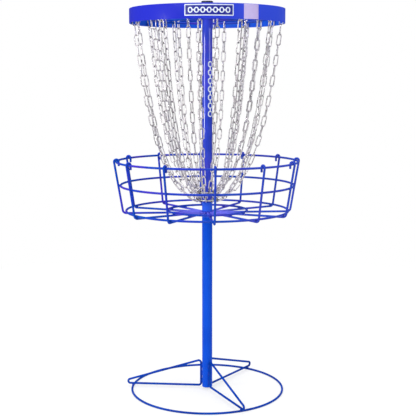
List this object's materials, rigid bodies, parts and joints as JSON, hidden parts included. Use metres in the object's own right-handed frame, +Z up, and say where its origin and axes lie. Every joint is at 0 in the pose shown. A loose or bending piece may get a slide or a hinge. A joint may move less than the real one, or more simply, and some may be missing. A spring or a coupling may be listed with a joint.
{
  "type": "disc golf basket",
  "caption": "Free-standing disc golf target: ring base, pole, wire basket, round band and two rings of hanging chains that gather at the pole.",
  "frame": {"origin": "pole axis at ground level, at the centre of the base ring's underside", "axes": "+Z up the pole, -Y the front that carries the label panel, +X to the right seen from the front"},
  "size_m": [0.6848, 0.6848, 1.436],
  "materials": {
    "blue_powder_coat": "satin blue powder coat over welded steel rod, tube and sheet",
    "zinc_plate": "bright zinc-plated welded steel chain and ring wire",
    "bolt_steel": "zinc-plated hexagon bolt",
    "cap_plastic": "dark moulded plastic tube cap"
  },
  "bodies": {
    "stand": {"base_ring": "blue_powder_coat", "base_leg_1": "blue_powder_coat", "base_leg_2": "blue_powder_coat", "base_leg_3": "blue_powder_coat", "lower_pole": "blue_powder_coat", "upper_pole": "blue_powder_coat", "pole_cap": "cap_plastic", "basket_hub": "blue_powder_coat", "basket_hub_bolt": "bolt_steel", "rim_ring": "blue_powder_coat", "mid_ring": "blue_powder_coat", "floor_outer_ring": "blue_powder_coat", "floor_inner_ring": "blue_powder_coat", "basket_wire_01": "blue_powder_coat", "basket_wire_02": "blue_powder_coat", "basket_wire_03": "blue_powder_coat", "basket_wire_04": "blue_powder_coat", "basket_wire_05": "blue_powder_coat", "basket_wire_06": "blue_powder_coat", "basket_wire_07": "blue_powder_coat", "basket_wire_08": "blue_powder_coat", "basket_wire_09": "blue_powder_coat", "basket_wire_10": "blue_powder_coat", "basket_wire_11": "blue_powder_coat", "basket_wire_12": "blue_powder_coat", "top_band": "blue_powder_coat", "rack_outer_ring": "blue_powder_coat", "rack_inner_ring": "blue_powder_coat", "rack_hub": "blue_powder_coat", "rack_hub_bolt": "bolt_steel", "rack_arm_1": "blue_powder_coat", "rack_arm_2": "blue_powder_coat", "rack_arm_3": "blue_powder_coat", "rack_arm_4": "blue_powder_coat"},
    "chain_outer_01": {"chain_outer_01": "zinc_plate"},
    "chain_outer_02": {"chain_outer_02": "zinc_plate"},
    "chain_outer_03": {"chain_outer_03": "zinc_plate"},
    "chain_outer_04": {"chain_outer_04": "zinc_plate"},
    "chain_outer_05": {"chain_outer_05": "zinc_plate"},
    "chain_outer_06": {"chain_outer_06": "zinc_plate"},
    "chain_outer_07": {"chain_outer_07": "zinc_plate"},
    "chain_outer_08": {"chain_outer_08": "zinc_plate"},
    "chain_outer_09": {"chain_outer_09": "zinc_plate"},
    "chain_outer_10": {"chain_outer_10": "zinc_plate"},
    "chain_outer_11": {"chain_outer_11": "zinc_plate"},
    "chain_outer_12": {"chain_outer_12": "zinc_plate"},
    "chain_inner_01": {"chain_inner_01": "zinc_plate"},
    "chain_inner_02": {"chain_inner_02": "zinc_plate"},
    "chain_inner_03": {"chain_inner_03": "zinc_plate"},
    "chain_inner_04": {"chain_inner_04": "zinc_plate"},
    "chain_inner_05": {"chain_inner_05": "zinc_plate"},
    "chain_inner_06": {"chain_inner_06": "zinc_plate"},
    "chain_inner_07": {"chain_inner_07": "zinc_plate"},
    "chain_inner_08": {"chain_inner_08": "zinc_plate"},
    "chain_inner_09": {"chain_inner_09": "zinc_plate"},
    "chain_inner_10": {"chain_inner_10": "zinc_plate"},
    "chain_inner_11": {"chain_inner_11": "zinc_plate"},
    "chain_inner_12": {"chain_inner_12": "zinc_plate"},
    "collector_ring_lower": {"collector_ring_lower": "zinc_plate"},
    "collector_ring_upper": {"collector_ring_upper": "zinc_plate"}
  },
  "joints": [
    {"name": "chain_outer_01_swing", "type": "hinge", "parent": "stand", "child": "chain_outer_01", "pos_m": [-0.02522, -0.26681, 1.38914], "axis": [-0.0307, -0.3246, 0.9454], "range_deg": [-20, 20]},
    {"name": "chain_outer_02_swing", "type": "hinge", "parent": "stand", "child": "chain_outer_02", "pos_m": [0.11156, -0.24368, 1.38914], "axis": [0.1357, -0.2964, 0.9454], "range_deg": [-20, 20]},
    {"name": "chain_outer_03_swing", "type": "hinge", "parent": "stand", "child": "chain_outer_03", "pos_m": [0.21845, -0.15525, 1.38914], "axis": [0.2658, -0.1889, 0.9454], "range_deg": [-20, 20]},
    {"name": "chain_outer_04_swing", "type": "hinge", "parent": "stand", "child": "chain_outer_04", "pos_m": [0.26681, -0.02522, 1.38914], "axis": [0.3246, -0.0307, 0.9454], "range_deg": [-20, 20]},
    {"name": "chain_outer_05_swing", "type": "hinge", "parent": "stand", "child": "chain_outer_05", "pos_m": [0.24368, 0.11156, 1.38914], "axis": [0.2964, 0.1357, 0.9454], "range_deg": [-20, 20]},
    {"name": "chain_outer_06_swing", "type": "hinge", "parent": "stand", "child": "chain_outer_06", "pos_m": [0.15525, 0.21845, 1.38914], "axis": [0.1889, 0.2658, 0.9454], "range_deg": [-20, 20]},
    {"name": "chain_outer_07_swing", "type": "hinge", "parent": "stand", "child": "chain_outer_07", "pos_m": [0.02522, 0.26681, 1.38914], "axis": [0.0307, 0.3246, 0.9454], "range_deg": [-20, 20]},
    {"name": "chain_outer_08_swing", "type": "hinge", "parent": "stand", "child": "chain_outer_08", "pos_m": [-0.11156, 0.24368, 1.38914], "axis": [-0.1357, 0.2964, 0.9454], "range_deg": [-20, 20]},
    {"name": "chain_outer_09_swing", "type": "hinge", "parent": "stand", "child": "chain_outer_09", "pos_m": [-0.21845, 0.15525, 1.38914], "axis": [-0.2658, 0.1889, 0.9454], "range_deg": [-20, 20]},
    {"name": "chain_outer_10_swing", "type": "hinge", "parent": "stand", "child": "chain_outer_10", "pos_m": [-0.26681, 0.02522, 1.38914], "axis": [-0.3246, 0.0307, 0.9454], "range_deg": [-20, 20]},
    {"name": "chain_outer_11_swing", "type": "hinge", "parent": "stand", "child": "chain_outer_11", "pos_m": [-0.24368, -0.11156, 1.38914], "axis": [-0.2964, -0.1357, 0.9454], "range_deg": [-20, 20]},
    {"name": "chain_outer_12_swing", "type": "hinge", "parent": "stand", "child": "chain_outer_12", "pos_m": [-0.15525, -0.21845, 1.38914], "axis": [-0.1889, -0.2658, 0.9454], "range_deg": [-20, 20]},
    {"name": "chain_inner_01_swing", "type": "hinge", "parent": "stand", "child": "chain_inner_01", "pos_m": [0.03469, -0.19087, 1.3724], "axis": [0.0447, -0.2457, 0.9683], "range_deg": [-20, 20]},
    {"name": "chain_inner_02_swing", "type": "hinge", "parent": "stand", "child": "chain_inner_02", "pos_m": [0.12548, -0.14796, 1.3724], "axis": [0.1616, -0.1905, 0.9683], "range_deg": [-20, 20]},
    {"name": "chain_inner_03_swing", "type": "hinge", "parent": "stand", "child": "chain_inner_03", "pos_m": [0.18265, -0.0654, 1.3724], "axis": [0.2352, -0.0842, 0.9683], "range_deg": [-20, 20]},
    {"name": "chain_inner_04_swing", "type": "hinge", "parent": "stand", "child": "chain_inner_04", "pos_m": [0.19087, 0.03469, 1.3724], "axis": [0.2457, 0.0447, 0.9683], "range_deg": [-20, 20]},
    {"name": "chain_inner_05_swing", "type": "hinge", "parent": "stand", "child": "chain_inner_05", "pos_m": [0.14796, 0.12548, 1.3724], "axis": [0.1905, 0.1616, 0.9683], "range_deg": [-20, 20]},
    {"name": "chain_inner_06_swing", "type": "hinge", "parent": "stand", "child": "chain_inner_06", "pos_m": [0.0654, 0.18265, 1.3724], "axis": [0.0842, 0.2352, 0.9683], "range_deg": [-20, 20]},
    {"name": "chain_inner_07_swing", "type": "hinge", "parent": "stand", "child": "chain_inner_07", "pos_m": [-0.03469, 0.19087, 1.3724], "axis": [-0.0447, 0.2457, 0.9683], "range_deg": [-20, 20]},
    {"name": "chain_inner_08_swing", "type": "hinge", "parent": "stand", "child": "chain_inner_08", "pos_m": [-0.12548, 0.14796, 1.3724], "axis": [-0.1616, 0.1905, 0.9683], "range_deg": [-20, 20]},
    {"name": "chain_inner_09_swing", "type": "hinge", "parent": "stand", "child": "chain_inner_09", "pos_m": [-0.18265, 0.0654, 1.3724], "axis": [-0.2352, 0.0842, 0.9683], "range_deg": [-20, 20]},
    {"name": "chain_inner_10_swing", "type": "hinge", "parent": "stand", "child": "chain_inner_10", "pos_m": [-0.19087, -0.03469, 1.3724], "axis": [-0.2457, -0.0447, 0.9683], "range_deg": [-20, 20]},
    {"name": "chain_inner_11_swing", "type": "hinge", "parent": "stand", "child": "chain_inner_11", "pos_m": [-0.14796, -0.12548, 1.3724], "axis": [-0.1905, -0.1616, 0.9683], "range_deg": [-20, 20]},
    {"name": "chain_inner_12_swing", "type": "hinge", "parent": "stand", "child": "chain_inner_12", "pos_m": [-0.0654, -0.18265, 1.3724], "axis": [-0.0842, -0.2352, 0.9683], "range_deg": [-20, 20]},
    {"name": "collector_ring_lower_turn", "type": "hinge", "parent": "stand", "child": "collector_ring_lower", "pos_m": [0, 0, 0.72], "axis": [0, 0, 1], "continuous": true},
    {"name": "collector_ring_upper_turn", "type": "hinge", "parent": "stand", "child": "collector_ring_upper", "pos_m": [0, 0, 0.7485], "axis": [0, 0, 1], "continuous": true}
  ]
}
